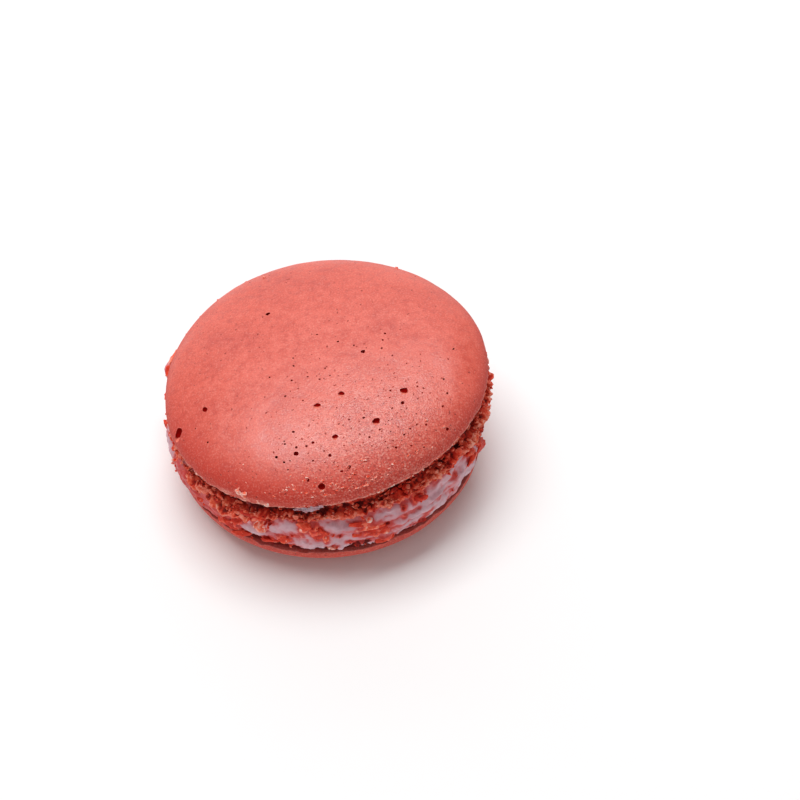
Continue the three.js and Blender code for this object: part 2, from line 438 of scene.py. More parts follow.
def makeSkinMaterial():
    finish = skinFinish
    material, tree, shader, position = startMaterial("shellSkin")
    slow = clouds(tree, position, *finish["slow"])
    fine = clouds(tree, position, *finish["fine"])
    micro = clouds(tree, position, *finish["micro"])
    mottle = clouds(tree, position, *finish["mottle"])
    patchy = clouds(tree, position, *finish["patchy"])
    baked, stainedAndShaded = readNote(tree, "baked"), readNote(tree, "stainedAndShaded")
    highlightZone = nearness(tree, position, finish["speckled"], *finish["speckledReach"])
    strength = remap(tree, highlightZone, 0, 1, *finish["microStrength"])
    coarse = times(tree, highlightZone, finish["mottleStrength"])

    def specks(microRange, mottleRange):
        tiny = times(tree, remap(tree, micro, *microRange), strength)
        return larger(tree, tiny, times(tree, remap(tree, mottle, *mottleRange), coarse))

    # dark specks are pinholes; pale specks are grain, with painted glints strongest where the highlight falls
    dark = specks(finish["darkMicro"], finish["darkMottle"])
    light = specks(finish["lightMicro"], finish["lightMottle"])
    dense = dots(tree, position, *finish["dense"], remap(tree, highlightZone, 0, 1, *finish["denseShare"]))
    sparse = dots(tree, position, *finish["sparse"], remap(tree, highlightZone, 0, 1, *finish["sparseShare"]))
    holes = larger(tree, dense, sparse)
    # pale along the edge: a painted highlight and sheen, with wear where scuffed
    edgeWearAndGlint = times(tree, readNote(tree, "edgeWearAndGlint"), remap(tree, patchy, *finish["edgePatches"]))
    edgeWearAndGlint = times(tree, edgeWearAndGlint, remap(tree, micro, *finish["edgeSpecks"]))

    stops = (0.25, finish["deep"]), (0.5, finish["base"]), (0.78, finish["pale"])
    colour = mixColours(tree, 0.5, ramp(tree, slow, *stops), ramp(tree, fine, *stops))
    colour = mixColours(tree, times(tree, baked, finish["bakedShare"]), colour, finish["rim"])
    colour = mixColours(tree, light, colour, finish["paleWearAndGlint"])
    pricked = larger(tree, dark, times(tree, holes, finish["holeShare"]))
    colour = mixColours(tree, pricked, colour, finish["speckle"])
    colour = mixColours(tree, edgeWearAndGlint, colour, finish["paleWearAndGlint"])
    # painted shade along the lip of the lower shell, under the cream, in the dark speckle colour
    colour = mixColours(tree, stainedAndShaded, colour, finish["speckle"])

    # dull where it is baked red, where shade is painted, and where it is pricked
    dull = larger(tree, larger(tree, baked, times(tree, stainedAndShaded, finish["shadeDulling"])), holes)
    rough = remap(tree, fine, 0.2, 0.8, *finish["roughness"])
    rough = plus(tree, rough, times(tree, dull, finish["dulling"]), clamp=True)
    gritty = times(tree, micro, remap(tree, highlightZone, 0, 1, *finish["microRelief"]))
    relief = plus(tree, gritty, times(tree, fine, finish["fineRelief"]))
    relief = maths(tree, "SUBTRACT", relief, times(tree, holes, finish["holeRelief"]))
    finishShader(tree, shader, finish, colour, relief, rough)
    return material


# the raw crumb inside burst bubbles, with painted shade on the far wall of the large ones and in the small
# ones
pitFinish = {
    "poreLit": srgb(230, 126, 108), "deep": srgb(140, 11, 8), "fine": (0.2, 3.0, 1.5), "mottled": 0.5,
    "roughness": 0.9, "specular": 0.0,
}


def makePitMaterial():
    finish = pitFinish
    material, tree, shader, position = startMaterial("bubbleInside")
    fine = clouds(tree, position, *finish["fine"])
    shade = plus(tree, readNote(tree, "poreShade"), swing(tree, fine, finish["mottled"]))
    # from the lit near side to painted shade on the far wall
    colour = ramp(tree, shade, (0.1, finish["poreLit"]), (0.6, finish["deep"]))
    finishShader(tree, shader, finish, colour)
    return material


footFinish = {
    # colours by crevice depth: tip is a painted highlight on raised crumbs, pit is painted shade in crevices
    # and under the skin
    "deepShade": srgb(96, 4, 2), "side": srgb(202, 54, 30), "tipLight": srgb(230, 112, 80), "red": srgb(250, 136, 108),
    "fleck": srgb(242, 164, 144), "fleckShare": 0.75,
    "slow": (2.5, 2.0, 2.5), "fine": (0.4, 4.0, 1.6), "mottled": 0.6,
    "flecks": (0.55, 0.3), "flecked": 0.4, "fleckDepth": (0.75, 0.45),
    "roughness": 0.75, "specular": 0.3, "bump": (0.6, 0.12),
}


def makeFootMaterial():
    finish = footFinish
    material, tree, shader, position = startMaterial("shellFoot")
    slow = clouds(tree, position, *finish["slow"])
    fine = clouds(tree, position, *finish["fine"])
    depth = plus(tree, readNote(tree, "crevice"), swing(tree, fine, finish["mottled"]))
    stops = [(0.0, finish["fleck"]), (0.2, finish["tipLight"]), (0.48, finish["side"]), (0.88, finish["deepShade"])]
    colour = mixColours(tree, slow, ramp(tree, depth, *stops), finish["red"], "MULTIPLY")
    flecks = dots(tree, position, *finish["flecks"], finish["flecked"])
    flecks = times(tree, flecks, remap(tree, depth, *finish["fleckDepth"], 0.0, finish["fleckShare"]))
    finishShader(tree, shader, finish, mixColours(tree, flecks, colour, finish["fleck"]), fine)
    return material


crumbFinish = {
    "colours": (
        (0.0, srgb(104, 8, 4)), (0.3, srgb(190, 30, 17)), (0.6, srgb(238, 68, 40)), (0.8, srgb(252, 120, 90)),
        (1.0, srgb(252, 212, 200)),
    ),  # by tone, which is lighter on each crumb's tips as a painted highlight
    "fine": (0.6, 4.0, 1.8), "mottled": 0.34, "relief": (0.3, 3.0, 1.8),
    "roughness": 0.7, "specular": 0.35, "bump": (0.8, 0.14),
}


def brokenColour(tree, position, tone):
    shift = swing(tree, clouds(tree, position, *crumbFinish["fine"]), crumbFinish["mottled"])
    return ramp(tree, plus(tree, tone, shift, clamp=True), *crumbFinish["colours"])


def makeCrumbMaterial():
    material, tree, shader, position = startMaterial("shellCrumb")
    relief = clouds(tree, position, *crumbFinish["relief"])
    finishShader(tree, shader, crumbFinish, brokenColour(tree, position, readNote(tree, "tone")), relief)
    return material


creamFinish = {
    "thick": (srgb(190, 132, 142), srgb(228, 192, 202)), "thin": (srgb(128, 96, 108), srgb(194, 166, 175)),
    # pale is painted light low on the cream
    "pale": srgb(244, 226, 234), "paintedLightHeight": (8.5, 5.5), "paintedLightShare": (0.1, 0.45),
    "pink": srgb(212, 118, 124), "red": srgb(204, 54, 46), "stainedAndShaded": (0.05, 0.6),
    "slow": (2.6, 4.0, 2.2), "fine": (0.5, 4.0, 1.6), "wetted": 0.8, "wetMiddle": 0.55,
    "roughness": (0.4, 0.6), "specular": 0.5, "bump": (0.4, 0.1),
    "subsurface": 0.2, "subsurfaceReach": (0.9, 0.6, 0.6),
}


def makeCreamMaterial(name, body):
    finish = creamFinish
    material, tree, shader, position = startMaterial(name)
    slow = clouds(tree, position, *finish["slow"])
    fine = clouds(tree, position, *finish["fine"])
    smear = mixColours(tree, slow, *finish[body])
    # paler towards the bottom of the cream: a painted highlight, with the top left in the shade of the foot
    # above
    height = add(tree, "SeparateXYZ", {0: position}).outputs[2]
    top, bottom = finish["paintedLightHeight"]
    low = remap(tree, height, top * mm, bottom * mm)
    low = times(tree, low, remap(tree, fine, 0.35, 0.6, *finish["paintedLightShare"]))
    smear = mixColours(tree, low, smear, finish["pale"])
    wetter = swing(tree, slow, finish["wetted"], finish["wetMiddle"])
    wet = plus(tree, readNote(tree, "stainAndShade"), wetter, clamp=True)
    tint = ramp(tree, wet, (0.25, finish["pink"]), (0.85, finish["red"]))
    smear = mixColours(tree, remap(tree, wet, *finish["stainedAndShaded"]), smear, tint)
    crumb = brokenColour(tree, position, readNote(tree, "tone"))
    colour = mixColours(tree, readNote(tree, "broken"), smear, crumb)
    rough = remap(tree, fine, 0.2, 0.8, *finish["roughness"])
    finishShader(tree, shader, finish, colour, fine, rough)
    reach = [length * mm for length in finish["subsurfaceReach"]]
    join(tree, shader, {"Subsurface Weight": finish["subsurface"], "Subsurface Scale": 1.0})
    join(tree, shader, {"Subsurface Radius": reach})
    return material


skinMaterial = makeSkinMaterial()
pitMaterial = makePitMaterial()
footMaterial = makeFootMaterial()
crumbMaterial = makeCrumbMaterial()
creamMaterial = makeCreamMaterial("cream", "thick")
wipedMaterial = makeCreamMaterial("creamWiped", "thin")
print("materials ready")


# What both shells are made of, in the shell's own frame: widest at height 0, dome up, foot down.

def domeHeight(shell, radius):
    out = np.clip(radius - shell["flat"], 0, None) / (shell["radius"] - shell["flat"])
    return shell["dome"] * np.clip(1 - out ** shell["fullness"], 0, 1) ** (1 / shell["fullness"])


def skinProfile(shell):
    # flat underside, rolled edge, dome
    radius, lip, depth, floor = shell["radius"], shell["lip"], shell["lipDepth"], shell["skinFloor"]
    beadHeight, beadTurn, beadWidth = shell["bead"]
    profile = [(0, floor), (0.5 * radius, floor), (radius - 2, floor), (radius - depth - 0.15, 0.08 - lip)]
    for i in range(shell["lipRings"]):
        turn = math.pi / 2 * (1 - i / shell["lipRings"])
        bead = beadHeight * math.exp(-((turn - beadTurn) / beadWidth) ** 2)
        profile.append((radius - depth * (1 - math.cos(turn)) + bead, -lip * math.sin(turn)))
    for i in range(shell["domeRings"]):
        turn = math.pi / 2 * i / shell["domeRings"]
        out = shell["flat"] + (radius - shell["flat"]) * math.cos(turn) ** (2 / shell["fullness"])
        profile.append((out, float(domeHeight(shell, out))))
    profile += [(shell["flat"] * (1 - i / 8), shell["dome"]) for i in range(8) if shell["flat"]]
    return profile + [(0, shell["dome"])]


def footOut(shell, up):
    # radius of the foot: a ledge below, set in under the skin; up is 0 at its end and 1 at the skin
    narrow = shell["radius"] - shell["recess"]
    return narrow + (shell["footRadius"] - narrow) * (1 - smoothStep(*shell["ledge"], up))


def footProfile(shell):
    # flat end, flaring side, top inside the skin
    radius, height, ceiling = shell["footRadius"], shell["foot"], shell["footCeiling"]
    narrow = shell["radius"] - shell["recess"]
    profile = [(radius * share, -height) for share in (0, 0.5, 0.85, 0.9, 0.92, 0.94, 0.96, 0.98)]
    for i in range(shell["footRings"] + 1):
        up = i / shell["footRings"]
        bevel = 0.25 * max(0, 1 - 8 * up)
        profile.append((footOut(shell, up), bevel - height + (height - shell["sideTop"]) * up))
    return profile + [(narrow - 0.5, ceiling), (0.5 * radius, ceiling), (0, ceiling)]


def bakeUneven(shell, places):
    # a little oval and three-sided, with the foot taller towards +X
    turn = np.arctan2(places[:, 1], places[:, 0])
    places[:, :2] *= (1 + shell["oval"] * np.cos(2 * turn) + shell["threeSided"] * np.cos(3 * turn))[:, None]
    below = places[:, 2] < -shell["lip"]
    stretch = 1 + shell["lopsided"] * places[below, 0] / shell["radius"]
    places[below, 2] = -shell["lip"] + (places[below, 2] + shell["lip"]) * stretch
    return places


def rollSkin(shell, places):
    # slow waves over the dome, and small nicks along the edge
    radius = np.hypot(places[:, 0], places[:, 1])
    rim = np.exp(-((places[:, 2] + 0.25) / 0.45) ** 2) * (radius > 0.9 * shell["radius"])
    calm = smoothStep(shell["flat"], shell["flat"] + 8, radius)
    for i, place in enumerate(places):
        wave = calm[i] * grainsAt(place, shell["waves"])
        nick = grainsAt(place, shell["nicks"]) if rim[i] > 0.02 else 0
        place[2] += wave
        place[:2] *= 1 + (0.4 * wave + rim[i] * nick) / shell["radius"]
    return places


def makeSkin(name, shell):
    skin = turnOnAxis(name, skinProfile(shell), shell["skinSteps"])
    places = rollSkin(shell, bakeUneven(shell, pointsOf(skin)))
    mould(skin, places)
    radius, height, bearing = np.hypot(places[:, 0], places[:, 1]), places[:, 2], bearingOf(places)
    outside = radius > 0.9 * shell["radius"]
    # pale along the lower edge, a painted highlight where the edge catches the light, and a low strip all
    # round that is partly painted sheen, wider and higher where it is scuffed from handling
    least, more, rise = shell["sheenAndWearStrip"]
    edgeGlint = smoothStep(*shell["edgeGlintHeight"], height) * outside
    scuff = between(bearing, *shell["scuffed"])
    sheenAndWearStrip = (least + more * scuff) * smoothStep(*shell["sheenAndWearHeight"], height - rise * scuff) * outside
    note(skin, "edgeWearAndGlint", shell["wearAndGlintStrength"] * np.maximum(edgeGlint, sheenAndWearStrip))
    # baked redder low on the dome all round; the redder band higher up on one side, the front of the upper
    # shell, is painted shade
    turned = np.cos(np.radians(bearing - shell["bakedBearing"]))
    paintedSideShade = smoothStep(0, 1, turned) * smoothStep(*shell["bakedSide"], height)
    baked = np.maximum(smoothStep(*shell["bakedRound"], height), paintedSideShade)
    note(skin, "baked", shell["baked"] * baked * (radius > 0.6 * shell["radius"]))
    # painted shade on the lip beyond the widest line, where the cream overhangs the lower shell
    note(skin, "stainedAndShaded", shell["stainedAndShaded"] * smoothStep(*shell["shadeHeight"], height) * outside)
    dress(skin, skinMaterial)
    return skin


# layers of grain are (strength, size, shift, flatness)
footRelief = {
    "lumps": ((0.7, 2.4, 3), (0.63, 0.95, 7)), "lumpFlatness": 1.7, "grit": ((0.3, 0.42, 5),),
    "drop": ((0.5, 0.8, 11), (0.25, 0.4, 17)), "ragged": ((1, 1.2, 19, 0), (0.7, 0.45, 23, 0)),
    "holeEdge": (0.42, 0.15), "holeless": 0.2, "holeDepth": 0.9, "skirtPlace": (0.14, 0.07),
    "torn": ((1, 5, 31, 0), (0.4, 1.2, 37)), "tornEdge": (-0.15, 0.2),
    "gapRange": (0.26, 0.38), "gapDepth": 1.1,
    "gapFront": (0.6, 0.7, 0.35, -0.3),  # more of it in front: by how much, turned by, less, at least
    "sagGrain": ((0.5, 2.5, 47, 0),), "sagOut": 0.35,
    "shade": (0.12, 0.45), "underSkin": (1.7, 0.7),  # painted shade under the overhanging skin: everywhere and more in the gap, and how far under the skin it reaches
    # ridge is a painted highlight along the lower edge of the foot
    "ridgeHighlight": (0.35, 0.13, 0.035), "speckle": ((1.3, 0.6, 51),), "creviceRounds": 12, "creviceReach": 0.22,
}


def gapAbove(places, up):
    # where the foot has come away from the skin, mostly in front: 1 in the gap, 0 elsewhere
    more, turned, less, least = footRelief["gapFront"]
    torn = np.array([grainsAt(place, footRelief["torn"]) for place in places])
    front = np.maximum(more * np.cos(np.arctan2(places[:, 0], -places[:, 1]) + turned) - less, least)
    return smoothStep(*footRelief["gapRange"], up) * smoothStep(*footRelief["tornEdge"], torn + front)


def sagOf(shell, places):
    # how much lower the edge of the foot hangs over the cream
    uneven = np.array([1 + grainsAt(place, footRelief["sagGrain"]) for place in places])
    return shell["sag"] * between(bearingOf(places), *shell["sagging"]) * uneven


def cragFoot(shell, places, side, up):
    # lumps, grains and torn holes, pushed outwards and up or down, and a ragged skirt at the lower edge
    relief, crag = footRelief, shell["crag"]
    gap = gapAbove(places, up)
    sag = sagOf(shell, places)
    lower = np.clip(1 - up / 0.5, 0, 1)
    middle, width = relief["skirtPlace"]
    skirt = shell["skirt"] * np.exp(-((up - middle) / width) ** 2)
    for i in np.flatnonzero(side):
        place = Vector(places[i])
        out = Vector((place.x, place.y, 0)).normalized()
        sunk = float(lower[i] * sag[i])
        place.z -= sunk
        flat = Vector((place.x, place.y, relief["lumpFlatness"] * place.z))
        hole = 0
        for spacing in shell["holes"]:
            away, cells = noise.voronoi(flat / spacing)
            deep = float(smoothStep(*relief["holeEdge"], away[0]))
            hole = max(hole, deep * (noise.cell(cells[0] * 7) > relief["holeless"]) * spacing)
        push = grainsAt(flat, relief["lumps"]) + grainsAt(place, relief["grit"]) - relief["holeDepth"] * hole
        push = crag * push - relief["gapDepth"] * float(gap[i]) + relief["sagOut"] * sunk
        ragged = float(skirt[i]) * (0.6 + grainsAt(place, relief["ragged"]))
        drop = crag * grainsAt(place, relief["drop"])
        places[i] = place + float(side[i]) * ((push + ragged) * out + Vector((0, 0, drop)))
    return places


def makeFoot(name, shell):
    foot = turnOnAxis(name, footProfile(shell), shell["footSteps"])
    places = pointsOf(foot)
    radius = np.hypot(places[:, 0], places[:, 1])
    up = (places[:, 2] + shell["foot"]) / shell["foot"]
    side = np.clip((radius - 0.93 * shell["footRadius"]) / 0.8, 0, 1)
    side = side * np.clip((-places[:, 2] - shell["sideTop"]) / 0.4, 0, 1)
    places = cragFoot(shell, bakeUneven(shell, places), side, up)
    mould(foot, places)
    # painted shade close under the overhanging skin and in the crevices, and a painted highlight on the ridge
    # along the lower edge
    (everywhere, inGap), (strength, middle, width) = footRelief["shade"], footRelief["ridgeHighlight"]
    under = -shell["lip"] - places[:, 2] - 1.1 * (shell["radius"] - np.hypot(places[:, 0], places[:, 1]))
    shade = everywhere + inGap * gapAbove(places, np.ones(len(places)))
    shade = shade * smoothStep(*footRelief["underSkin"], under)
    speckle = np.array([1 + grainsAt(place, footRelief["speckle"]) for place in places])
    ridgeHighlight = strength * np.exp(-((up - middle) / width) ** 2) * speckle
    ridgeHighlight = ridgeHighlight * np.clip(1 - 0.35 * sagOf(shell, places), 0.1, 1)
    crevice = creviceOf(foot, footRelief["creviceRounds"], footRelief["creviceReach"])
    note(foot, "crevice", np.clip(crevice + shade - ridgeHighlight, 0, 1))
    dress(foot, footMaterial)
    return foot


# up is the highest they sit, as a share of the foot; larger is what a few of them have on top of size
looseCrumbs = {
    "up": 0.7, "out": (-0.35, 0.2), "size": (0.15, 0.4), "larger": 0.75,
    "tone": (0.1, 0.65), "darkShare": 0.16,
}


def footCrumbs(name, shell):
    # loose crumbs that cling to the side of the foot, and follow its gap and its sagging edge
    draw = random.Random(shell["seed"])
    copies, places, ups = [], [], []
    for _ in range(shell["crumbs"]):
        turn, up = draw.uniform(0, 2 * math.pi), looseCrumbs["up"] * draw.random() ** 1.4
        ups.append(up)
        radius = footOut(shell, up) + draw.uniform(*looseCrumbs["out"])
        places.append(atBearing(turn, radius, 0.15 - shell["foot"] * (1 - up)))
    places = bakeUneven(shell, np.array(places))
    low = np.clip(1 - (places[:, 2] + shell["foot"]) / (0.5 * shell["foot"]), 0, 1)
    sunk = sagOf(shell, places) * low
    gap = gapAbove(places, np.array(ups))
    inwards = footRelief["gapDepth"] * gap - footRelief["sagOut"] * sunk
    places[:, :2] *= (1 - inwards / shell["radius"])[:, None]
    places[:, 2] -= sunk
    for place, torn in zip(places, gap):
        facing = facingAt(math.atan2(place[0], -place[1]))
        size = draw.uniform(*looseCrumbs["size"]) + looseCrumbs["larger"] * draw.random() ** 4
        size *= 1 - 0.7 * torn
        stretch = draw.uniform(1, 1.6), 0.8, draw.uniform(0.7, 1)
        tone = 0 if draw.random() < looseCrumbs["darkShare"] else draw.uniform(*looseCrumbs["tone"])
        copies.append(crumbCopy(draw, Vector(place), facing, [size * s for s in stretch], tone))
    return spread(name, copies, footMaterial, "crevice")


# Radii and heights are in millimetres, bearings in degrees. Sagging and scuffed are the bearings where each
# starts, is full, fades and ends.
upperShell = {
    "seat": {"middle": (-0.2, 0.15, 15.1), "turn": (0, -math.atan(0.12), 0)},
    "radius": 22.5, "dome": 6.0, "flat": 0, "fullness": 2.4,
    "oval": 0.01, "threeSided": 0.014, "lopsided": 0.5,
    "skinFloor": -0.4, "lip": 0.5, "lipDepth": 0.45, "bead": (0.12, 0.8, 0.3),
    "lipRings": 10, "domeRings": 76, "skinSteps": 640,
    "waves": ((0.16, 9, 0), (0.05, 2.6, 4)), "nicks": ((0.22, 1.3, 8), (0.12, 0.5, 2)),
    # the pale line at the lower edge is a painted highlight
    "wearAndGlintStrength": 1, "edgeGlintHeight": (-0.08, -0.2), "scuffed": (-42, -34, -20, -12),
    "sheenAndWearStrip": (0.12, 0.4, 0.2), "sheenAndWearHeight": (0.6, 0.1),  # partly painted sheen all round, worn more where scuffed and higher there
    # the stained mark is painted shade along the lip under the cream; the upper shell has none
    "stainedAndShaded": 0, "shadeHeight": (-0.08, -0.3),
    # the skin is baked redder low all round; the band higher up on one side is painted shade
    "baked": 1, "bakedRound": (3.4, 0.6), "bakedSide": (4.8, 1.5), "bakedBearing": -22,
    "foot": 3.4, "footRadius": 22.5, "recess": 1.2, "ledge": (0.12, 0.44),
    "sideTop": 0.45, "footCeiling": -0.3, "footRings": 36, "footSteps": 1240,
    "crag": 0.7, "skirt": 0.45, "holes": (2.0, 1.1), "sag": 2.2, "sagging": (-70, -52, -34, -10),
    "crumbs": 1400, "seed": 21,
}
# burst bubbles in the skin: x, y, width, stretch, and how far the long ones are turned in degrees
bubbles = [
    (11.9, -8.1, 0.95, 1.15), (8.2, -12.9, 0.95, 1.1), (3.6, -8.3, 0.75, 1.15), (0.4, -10.0, 0.72, 1.15),
    (2.8, -15.0, 0.75, 1.05), (0.9, -21.35, 1.15, 0.74), (11.7, -10.0, 0.42, 1.1), (-2.3, -17.0, 0.55, 1.15),
    (-4.9, -17.2, 0.45, 1.0), (2.1, -17.5, 0.42, 1.0), (4.6, -19.1, 0.48, 1.0), (-0.1, -15.6, 0.38, 1.0),
    (-2.3, -16.1, 0.32, 1.0), (-3.9, -15.1, 0.24, 1.0), (-3.8, -15.5, 0.28, 1.1), (-0.1, -18.1, 0.3, 1.0),
    (-3.9, -18.0, 0.3, 1.2), (-2.7, -13.8, 0.3, 1.3), (7.3, -15.2, 0.28, 1.0), (11.8, -14.7, 0.28, 1.0),
    (10.7, -16.5, 0.3, 1.0), (13.2, -16.6, 0.28, 1.0), (12.4, -18.1, 0.32, 1.0), (17.4, -12.9, 0.42, 1.0),
    (14.7, -13.0, 0.3, 1.0), (13.5, -13.1, 0.26, 1.0), (12.6, -13.8, 0.26, 1.0), (14.5, -7.5, 0.25, 1.0),
    (17.2, -5.8, 0.28, 1.0), (3.6, -19.6, 0.35, 1.4), (-0.8, -20.5, 0.3, 1.4, 70),
    (-19.3, -10.2, 1.25, 1.55, -62), (-15.2, -8.2, 0.7, 1.3), (6.4, -1.1, 0.55, 1.0), (18.6, -0.5, 0.65, 1.1),
    (-7.3, 7.8, 0.5, 1.3), (-8.2, -12.9, 0.25, 1.0), (-14.5, -13.2, 0.3, 1.0),
]
pinpricks = {"count": 110, "least": 0.14, "most": 0.3, "middle": (5, -12.5), "reach": (8, 6), "seed": 4}


def onDome(shell, x, y):
    return Vector((x, y, float(domeHeight(shell, math.hypot(x, y)))))


def facingOut(shell, x, y, step=0.05):
    # the place on the dome above x, y, and what turns +Y to its outward normal
    place, along, across = onDome(shell, x, y), onDome(shell, x + step, y), onDome(shell, x, y + step)
    return place, (along - place).cross(across - place).normalized().to_track_quat("Y", "Z").to_matrix()


def bubbleCopies(shell):
    draw = random.Random(pinpricks["seed"])
    chosen = list(bubbles)
    while len(chosen) < len(bubbles) + pinpricks["count"]:
        x, y = (draw.gauss(middle, reach) for middle, reach in zip(pinpricks["middle"], pinpricks["reach"]))
        width = pinpricks["least"] + (pinpricks["most"] - pinpricks["least"]) * draw.random() ** 2.5
        apart = all(math.hypot(x - other[0], y - other[1]) > width + other[2] * other[3] for other in chosen)
        if apart and math.hypot(x, y) < 0.95 * shell["radius"]:
            chosen.append((x, y, width, draw.uniform(1, 1.4)))
    copies = []
    for x, y, width, stretch, *turn in chosen:
        place, facing = facingOut(shell, x, y)
        facing = facing @ Euler((0, math.radians(sum(turn)), 0)).to_matrix()
        depth = 0.85 * width if width > 0.6 else 1.4 * width
        middle = place - facing @ Vector((0, 0.12 * depth, 0))
        copies.append(crumbCopy(draw, middle, facing, (width * stretch, depth, width), 1))
    return copies


def burstBubbles(skin, shell):
    copies = bubbleCopies(shell)
    cutter = spread("bubbleCutter", copies, pitMaterial, kinds=bubbleKinds)
    pick(skin)
    modify(skin, "BOOLEAN", operation="DIFFERENCE", solver="EXACT", material_mode="TRANSFER", object=cutter)
    bpy.data.objects.remove(cutter)
    # painted shade: the small bubbles and the far wall of the large ones are darkened
    middles = np.array([matrix.translation for _, matrix, _ in copies])
    widths = np.array([matrix.to_3x3().determinant() for _, matrix, _ in copies]) ** (1 / 3)
    places = pointsOf(skin)
    poreShade = np.zeros(len(places))
    for i in {corner for face in skin.data.polygons if face.material_index for corner in face.vertices}:
        own = (np.linalg.norm(middles - places[i], axis=1) / widths).argmin()
        width = widths[own]
        far = smoothStep(0, 0.35, (places[i, 1] - middles[own, 1]) / (0.5 * width))
        whole = smoothStep(0.7, 0.55, width) * (0.5 + 0.5 * smoothStep(0.3, 0.5, width))
        poreShade[i] = max(far * smoothStep(0.5, 0.7, width), whole)
    note(skin, "poreShade", poreShade)


# pale crumb dust: places are the middle and reach of a cluster in radians, and the share that is in it
rimDust = {
    "rim": 300, "rimPlace": (0, 0.6, 0.6), "rimTone": (0.5, 1),
    "dome": 190, "domePlace": (0.22, 0.35, 0.85), "domeTone": (0.65, 0.88),
    "least": 0.16, "most": 0.5, "seed": 8,
    "scratch": ((-3.0, -20.9), (-4.7, -21.3), 8),  # a row of chips
    "chunks": (
        (-0.48, 1.0, 0.9), (-0.445, 0.7, 1.0), (-0.44, 1.2, 0.8), (-0.47, 1.9, 0.5), (-0.36, 0.1, 0.8),
        (-0.30, -0.2, 0.9),
    ),  # bearing, height, size
    "chunkTone": 0.86,
}


def dustCopies(shell):
    # flecks along the edge of the skin and on the dome above it
    draw = random.Random(rimDust["seed"])
    copies = []
    for i in range(rimDust["rim"] + rimDust["dome"]):
        onRim = i < rimDust["rim"]
        middle, reach, share = rimDust["rimPlace"] if onRim else rimDust["domePlace"]
        turn = draw.gauss(middle, reach) if draw.random() < share else draw.uniform(-math.pi, math.pi)
        size = rimDust["least"] + (rimDust["most"] - rimDust["least"]) * draw.random() ** (3 if onRim else 5)
        radius = shell["radius"] - (draw.uniform(0, 0.3) if onRim else 0.3 + 3 * draw.random() ** 2)
        height = -draw.uniform(0, 0.45) if onRim else float(domeHeight(shell, radius))
        place = bakeUneven(shell, np.array([atBearing(turn, radius, height)]))[0]
        shape = [size * draw.uniform(1, 1.5), 0.8 * size, 0.7 * size]
        tone = draw.uniform(*rimDust["rimTone" if onRim else "domeTone"])
        copies.append(crumbCopy(draw, Vector(place), facingAt(turn), shape, tone))
    start, end, count = rimDust["scratch"]
    for i in range(count):
        x, y = (a + (b - a) * i / count + draw.uniform(-0.14, 0.14) for a, b in zip(start, end))
        place, facing = facingOut(shell, x, y)
        shape = [draw.uniform(0.15, 0.4) for _ in range(3)]
        copies.append(crumbCopy(draw, place, facing, shape, draw.uniform(0.7, 1)))
    for turn, height, size in rimDust["chunks"]:
        place = Vector(atBearing(turn, shell["radius"], height))
        shape = size, 0.6 * size, 0.9 * size
        copies.append(crumbCopy(draw, place, facingAt(turn), shape, rimDust["chunkTone"], large))
    return copies


upperSkin = makeSkin("upperSkin", upperShell)
burstBubbles(upperSkin, upperShell)
upperDust = spread("upperDust", dustCopies(upperShell), crumbMaterial)
upperFoot = makeFoot("upperFoot", upperShell)
upperFootCrumbs = footCrumbs("upperFootCrumbs", upperShell)
finishPieces(
    "upper_shell", upperShell["seat"], (upperSkin, "shell_skin", 35), (upperFoot, "shell_foot", 60),
    (upperFootCrumbs, "shell_foot", 50), (upperDust, "shell_crumb", 50),
)

# like the upper shell, but turned over, flatter and cleaner
lowerShell = {
    **upperShell,
    "seat": {"middle": (0, 0, 4.4), "turn": (math.pi, 0, 0)},
    "radius": 22.25, "dome": 4.4, "flat": 8.5, "oval": -0.006, "threeSided": 0.004, "lopsided": 0,
    # the lower shell has painted shade along its lip under the cream
    "domeRings": 44, "skinSteps": 480, "wearAndGlintStrength": 0.35, "stainedAndShaded": 0.65, "baked": 0.7,
    "foot": 3.0, "footRadius": 20.9, "recess": 1.7, "ledge": (0.25, 0.85), "footRings": 28, "footSteps": 960,
    "crag": 0.5, "skirt": 0.2, "sag": 0, "crumbs": 500, "seed": 22,
}
lowerSkin = makeSkin("lowerSkin", lowerShell)
lowerFoot = makeFoot("lowerFoot", lowerShell)
lowerFootCrumbs = footCrumbs("lowerFootCrumbs", lowerShell)
finishPieces(
    "lower_shell", lowerShell["seat"], (lowerSkin, "shell_skin", 35), (lowerFoot, "shell_foot", 60),
    (lowerFootCrumbs, "shell_foot", 50),
)

cream = {
    "seat": {"middle": (0, 0, 0), "turn": (0, 0, 0)},
    "radius": 22.3, "floor": 7.3, "ceiling": 11.82, "ceilingLean": 0.058, "steps": 1240, "sideRings": 46,
    "sideRadius": 22.1, "belly": 0.4, "hangRadius": 21.4, "hangBend": 0.7, "hangRings": 14, "bendRings": 6,
    "hangFront": 2.0, "hangBack": 1.1,
    "hangMore": 1.0, "hanging": (-80, -62, -36, -20),  # where it hangs lower, as for the shells
    "ragged": 0.75, "even": (20, 40, 80, 110),
    "jam": (-70, -62, -36, -28),  # where it is stained red
}
# where the cream has been squeezed further out
creamDabs = [
    {"bearing": -108, "width": 8, "share": 0.9, "reach": 0.4, "depth": 3.0},
    {"bearing": -62, "width": 20, "share": 0.35, "reach": 0.8, "depth": 0.5},
    {"bearing": -60, "width": 4, "share": 0.85, "reach": 0.3, "depth": 0.9},
]
